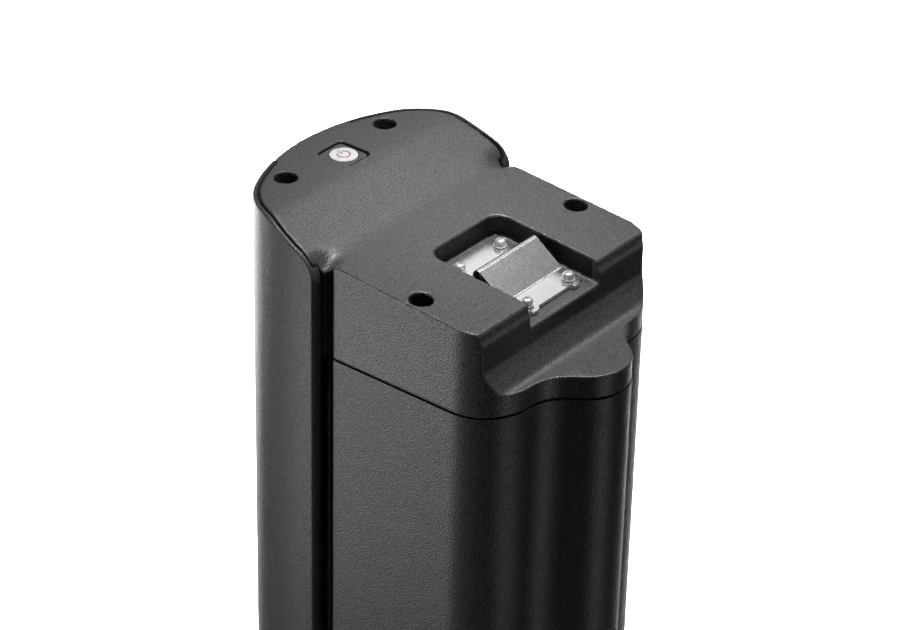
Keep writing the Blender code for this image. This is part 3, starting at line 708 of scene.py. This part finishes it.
class Finish:
    """A node material painted by noise in the object's own space."""

    def __init__(self, name, roughness, metallic=0.0):
        self.material = bpy.data.materials.new(name)
        self.material.use_nodes = True
        self.nodes = self.material.node_tree.nodes
        self.links = self.material.node_tree.links
        self.shader = self.nodes["Principled BSDF"]
        self.shader.inputs["Roughness"].default_value = roughness
        self.shader.inputs["Metallic"].default_value = metallic
        self.place = self.nodes.new("ShaderNodeTexCoord").outputs["Object"]

    def stretched(self, scale):
        mapping = self.nodes.new("ShaderNodeMapping")
        mapping.inputs["Scale"].default_value = scale
        self.links.new(self.place, mapping.inputs["Vector"])
        self.place = mapping.outputs["Vector"]
        return self

    def noise(self, size, detail=2.0):
        """Noise whose features are about size millimetres across."""
        noise = self.nodes.new("ShaderNodeTexNoise")
        noise.inputs["Scale"].default_value = 1 / (size * MM)
        noise.inputs["Detail"].default_value = detail
        self.links.new(self.place, noise.inputs["Vector"])
        return noise.outputs["Fac"]

    def colour(self, value, *stops):
        """Base colour blended between two (position, colour) stops."""
        ramp = self.nodes.new("ShaderNodeValToRGB")
        for element, (position, colour) in zip(ramp.color_ramp.elements, stops):
            element.position = position
            element.color = (*colour, 1.0)
        self.links.new(value, ramp.inputs["Fac"])
        self.links.new(ramp.outputs["Color"], self.shader.inputs["Base Color"])
        return self

    def gloss(self, value, low, high):
        """Roughness between low and high."""
        span = self.nodes.new("ShaderNodeMapRange")
        span.inputs["From Min"].default_value = 0.3
        span.inputs["From Max"].default_value = 0.7
        span.inputs["To Min"].default_value = low
        span.inputs["To Max"].default_value = high
        self.links.new(value, span.inputs["Value"])
        self.links.new(span.outputs["Result"], self.shader.inputs["Roughness"])
        return self

    def relief(self, value, depth):
        """Bump of about depth millimetres."""
        bump = self.nodes.new("ShaderNodeBump")
        bump.inputs["Strength"].default_value = 1.0
        bump.inputs["Distance"].default_value = depth * MM
        self.links.new(value, bump.inputs["Height"])
        self.links.new(bump.outputs["Normal"], self.shader.inputs["Normal"])
        return self


def moulded(name, dark, light, roughness, grain=0.5, depth=0.15, specular=0.5):
    """Spark-eroded plastic: fine even grain with slightly shinier peaks."""
    finish = Finish(name, roughness)
    finish.shader.inputs["Specular IOR Level"].default_value = specular
    fine = finish.noise(grain, 1.0)
    finish.colour(fine, (0.35, dark), (0.7, light))
    finish.gloss(fine, roughness + 0.06, roughness - 0.06)
    return finish.relief(fine, depth).material


def sheet_metal(name, dark, light, roughness, grain=0.5, stretch=(1, 1, 1), metallic=1.0):
    """Smooth metal, slightly uneven in colour."""
    finish = Finish(name, roughness, metallic).stretched(stretch)
    fine = finish.noise(grain, 3.0)
    finish.colour(fine, (0.3, dark), (0.7, light))
    finish.gloss(fine, roughness - 0.006, roughness + 0.006)
    return finish.material


def plain(name, dark, light, roughness, grain=1.5, depth=0.02):
    """Plastic, rubber, foam or paper with a soft mottle."""
    finish = Finish(name, roughness)
    cloud = finish.noise(grain, 3.0)
    finish.colour(cloud, (0.3, dark), (0.7, light))
    finish.gloss(cloud, roughness - 0.04, roughness + 0.04)
    return finish.relief(cloud, depth).material


def grey(value):
    return value, value, value


BLACK_MOULDING = moulded("black_moulding", grey(0.028), grey(0.088), 0.39)
# painted shade: a darker, less glossy copy of the black moulding, for the cap's recess walls only
RECESS_PAINTED_SHADE = moulded("black_moulding", grey(0.006), grey(0.014), 0.45, specular=0.25)
TUBE_MOULDING = moulded("black_moulding", grey(0.024), grey(0.070), 0.43)
COVER_SKIN = moulded("cover_skin", grey(0.026), grey(0.074), 0.40, specular=0.36)
ZINC_PLATE = sheet_metal("zinc_plate", grey(0.74), grey(0.82), 0.27, 1.2, (1, 0.2, 1))
BRIGHT_STEEL = sheet_metal("bright_steel", grey(0.60), grey(0.76), 0.30, metallic=0.7)
BLACKENED_STEEL = sheet_metal("blackened_steel", grey(0.05), grey(0.09), 0.4)
BLACK_RUBBER = plain("black_rubber", grey(0.012), grey(0.022), 0.7, 0.8)
WHITE_LENS = plain("white_lens", grey(0.48), grey(0.54), 0.3, 2.0, 0.002)
SYMBOL_RED = plain("symbol_red", (0.20, 0.045, 0.055), (0.26, 0.06, 0.07), 0.45, 0.4, 0.002)
SYMBOL_GREY = plain("symbol_grey", grey(0.10), grey(0.14), 0.45, 0.4, 0.002)
GREEN_BOARD = plain("green_board", (0.01, 0.10, 0.04), (0.02, 0.16, 0.07), 0.45)
HOLDER_PLASTIC = moulded("holder_plastic", grey(0.03), grey(0.05), 0.5, 0.8)
CELL_CAN = plain("cell_can", (0.03, 0.16, 0.32), (0.05, 0.22, 0.42), 0.35, 3.0)
SINK_ALLOY = sheet_metal("sink_alloy", grey(0.5), grey(0.62), 0.35)
CONTACT_BRASS = sheet_metal("contact_brass", (0.70, 0.42, 0.20), (0.82, 0.54, 0.28), 0.25)
RED_INSULATION = plain("red_insulation", (0.40, 0.01, 0.01), (0.5, 0.02, 0.02), 0.45)
BLACK_INSULATION = plain("black_insulation", grey(0.015), grey(0.025), 0.5)
GREY_INSULATION = plain("grey_insulation", grey(0.30), grey(0.4), 0.55)
WHITE_PLASTIC = plain("white_plastic", grey(0.65), grey(0.75), 0.4)
FUSE_PLASTIC = plain("fuse_plastic", (0.6, 0.45, 0.03), (0.7, 0.55, 0.05), 0.3)
FOAM = plain("foam", grey(0.05), grey(0.10), 0.9, 0.5, 0.2)
FISH_PAPER = plain("fish_paper", (0.30, 0.36, 0.30), (0.36, 0.42, 0.36), 0.8)
BLACK_PLASTIC = moulded("black_plastic", grey(0.012), grey(0.024), 0.42, 0.6, 0.02)


def fit_piece(obj, finish, body, *nodes, slot=None):
    """Give a piece its finish and body, and hide the CAD nodes it stands for; slot is not used."""
    obj.data.materials.clear()
    obj.data.materials.append(finish)
    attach(obj, body)
    if nodes:
        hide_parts(*nodes)
    return obj


# ---------------------------------------------------------------- pieces

top_cap = fit_piece(make_cap(), BLACK_MOULDING, HOUSING, "top_cap")
# painted shade on the recess walls of the cap
paint_recess_shade(top_cap)
fit_piece(make_cover(), COVER_SKIN, HOUSING, "outer_cover")
fit_piece(make_case(), TUBE_MOULDING, HOUSING, "main_case")
fit_piece(make_foot(), BLACK_MOULDING, HOUSING, "bottom_cap")
fit_piece(make_bracket(), ZINC_PLATE, HOUSING, "latch_bracket")
for number, place in enumerate(BRACKET_SCREWS, 1):
    head, *washers = make_bracket_screw(number, place)
    fit_piece(head, BRIGHT_STEEL, HOUSING, f"bracket_screw_{number}", slot="zinc_plate")
    for washer in washers:
        fit_piece(washer, BRIGHT_STEEL, HOUSING, slot="zinc_plate")
for number, place in enumerate(CAP_SCREWS, 1):
    upper = make_cap_screw(f"cap_bolt_{number}", place, WELL_FLOOR + GAP, 1)
    fit_piece(upper, BLACKENED_STEEL, HOUSING, f"top_cap_screw_{number}")
    lower = make_cap_screw(f"foot_bolt_{number}", place, FOOT_SCREW_SEAT, -1)
    fit_piece(lower, BLACKENED_STEEL, HOUSING, f"bottom_cap_screw_{number}")
fit_piece(make_key(), BLACK_MOULDING, KEY, "power_button")
fit_piece(make_lens(), WHITE_LENS, KEY, "button_lens")
symbol_ring, symbol_bar = make_symbol()
fit_piece(symbol_ring, SYMBOL_RED, KEY, slot="white_lens")
fit_piece(symbol_bar, SYMBOL_GREY, KEY, slot="white_lens")
fit_piece(make_flap(), BLACK_RUBBER, PORT, "charge_port_cover")
fit_piece(make_connector(), BLACK_PLASTIC, HOUSING, "discharge_connector")

INSIDE = {
    "switch_plunger": BLACK_PLASTIC, "button_switch": BLACK_PLASTIC, "button_board": GREEN_BOARD,
    "top_gasket": BLACK_RUBBER, "bottom_gasket": BLACK_RUBBER,
    "cell_holder_left": HOLDER_PLASTIC, "cell_holder_right": HOLDER_PLASTIC,
    "bms_board": GREEN_BOARD, "bms_heatsink": SINK_ALLOY, "balance_connector": WHITE_PLASTIC,
    "fuse_holder": BLACK_PLASTIC, "blade_fuse": FUSE_PLASTIC,
    "positive_lead": RED_INSULATION, "negative_lead": BLACK_INSULATION,
    "balance_harness": GREY_INSULATION, "foam_pad_top": FOAM, "foam_pad_bottom": FOAM,
    "insulation_sheet_left": FISH_PAPER, "insulation_sheet_right": FISH_PAPER,
    "positive_blade": CONTACT_BRASS, "negative_blade": CONTACT_BRASS,
    "signal_pin_1": CONTACT_BRASS, "signal_pin_2": CONTACT_BRASS,
    "charge_socket": BLACK_PLASTIC, "charge_pin": CONTACT_BRASS,
}
for name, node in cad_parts.items():
    finish = CELL_CAN if name.startswith("cell_group") else INSIDE.get(name)
    if finish:
        node.data.materials.clear()
        node.data.materials.append(finish)


# ---------------------------------------------------------------- studio

def stage_finish(name, glow):
    """Pale matt stage colour; glow is how much light it gives off by itself."""
    finish = Finish(name, 0.8)
    finish.colour(finish.noise(60.0), (0.3, grey(0.86)), (0.7, grey(0.90)))
    finish.shader.inputs["Emission Color"].default_value = (1, 1, 1, 1)
    finish.shader.inputs["Emission Strength"].default_value = glow
    return finish.material


def set_stage(obj, material, seen):
    """A stage object that only the camera sees, or that only reflections and bounced light see."""
    obj.data.materials.append(material)
    obj.visible_camera = seen
    obj.visible_diffuse = not seen
    obj.visible_glossy = not seen
    obj.visible_transmission = not seen
    obj.visible_shadow = not seen


BOUNCE_HALF, FLOOR_HALF, BACKDROP_RADIUS = 4000, 8000, 12000


def make_stage():
    """Pale floor and backdrop for the camera, and a floor that throws light on the object."""
    bounce = box("floor_bounce", (-BOUNCE_HALF, -BOUNCE_HALF, -20), (BOUNCE_HALF, BOUNCE_HALF, -0.3))
    set_stage(bounce, stage_finish("floor_bounce", 0.0), False)
    floor = box("floor", (-FLOOR_HALF, -FLOOR_HALF, -10), (FLOOR_HALF, FLOOR_HALF, -0.1))
    set_stage(floor, stage_finish("pale_floor", 0.78), True)
    bm = bmesh.new()
    bmesh.ops.create_uvsphere(bm, u_segments=48, v_segments=24, radius=BACKDROP_RADIUS)
    set_stage(new_object("backdrop", bm), stage_finish("pale_backdrop", 0.80), True)


def panel(name, place, target, width, height, power, spread):
    """Soft rectangular light at place, facing target; metres, watts and degrees of spread."""
    light = bpy.data.lights.new(name, "AREA")
    light.shape = "RECTANGLE"
    light.size = width
    light.size_y = height
    light.energy = power
    light.spread = math.radians(spread)
    obj = bpy.data.objects.new(name, light)
    obj.visible_camera = False
    obj.location = place
    obj.rotation_euler = (Vector(target) - Vector(place)).to_track_quat("-Z", "Y").to_euler()
    bpy.context.scene.collection.objects.link(obj)


def make_world(strength):
    world = bpy.data.worlds.new("studio")
    world.use_nodes = True
    background = world.node_tree.nodes["Background"]
    background.inputs["Color"].default_value = (1, 1, 1, 1)
    background.inputs["Strength"].default_value = strength
    bpy.context.scene.world = world


CAMERA_ANGLES = (-51.824, 30.948, 1.315)
CAMERA_PLACE = (-0.68241, -0.53314, 0.86432)
SENSOR_WIDTH = 36
FOCAL_LENGTH = 128.77


def make_camera():
    """Three-quarter view from above: azimuth, elevation and roll in degrees, place in metres."""
    azimuth, elevation, roll = (math.radians(a) for a in CAMERA_ANGLES)
    back = Vector((math.sin(azimuth) * math.cos(elevation),
                   -math.cos(azimuth) * math.cos(elevation), math.sin(elevation)))
    right = Vector((math.cos(azimuth), math.sin(azimuth), 0))
    up = back.cross(right)
    turned_right = right * math.cos(roll) + up * math.sin(roll)
    turned_up = up * math.cos(roll) - right * math.sin(roll)
    matrix = Matrix((turned_right, turned_up, back)).transposed().to_4x4()
    matrix.translation = Vector(CAMERA_PLACE)
    data = bpy.data.cameras.new("camera")
    data.sensor_width = SENSOR_WIDTH
    data.lens = FOCAL_LENGTH
    data.clip_end = 50
    camera = bpy.data.objects.new("camera", data)
    camera.matrix_world = matrix
    bpy.context.scene.collection.objects.link(camera)
    bpy.context.scene.camera = camera


# name, place, target, width, height, power, spread
LIGHTS = [
    # the floor behind the object, then its top and ramp
    ("floor_light", (0.58, 0.45, 1.10), (0.58, 0.45, 0.0), 0.8, 0.8, 10.0, 32),
    ("over_beam", (0.005, -0.01, 1.5), (0.010, 0, 0.38), 0.05, 0.05, 0.14, 14),
    ("sheen_box", (0.56, 0.44, 0.86), (0.0, 0.0, 0.37), 0.35, 0.35, 0.02, 34),
    ("ramp_box", (0.30, -0.10, 0.95), (0.0, -0.03, 0.37), 0.2, 0.2, 0.07, 30),
    # low lights for the left side and the nose
    ("left_strip", (-0.50, 0.34, 0.20), (-0.04, 0.0, 0.36), 0.12, 0.3, 0.105, 40),
    ("left_low", (-0.37, 0.26, 0.06), (-0.04, 0.0, 0.34), 0.2, 0.2, 0.040, 60),
    ("front_low", (-0.02, -0.46, 0.06), (0.0, -0.06, 0.31), 0.06, 0.2, 0.028, 60),
    # right side and back
    ("right_strip", (0.50, 0.34, 0.20), (0.04, 0.0, 0.33), 0.12, 0.3, 0.12, 40),
    ("back_strip", (0.10, 0.62, 0.18), (0.0, 0.05, 0.33), 0.3, 0.3, 0.25, 50),
]

make_stage()
make_world(0.010)
for light in LIGHTS:
    panel(*light)
make_camera()
bpy.context.scene.view_settings.view_transform = "Standard"
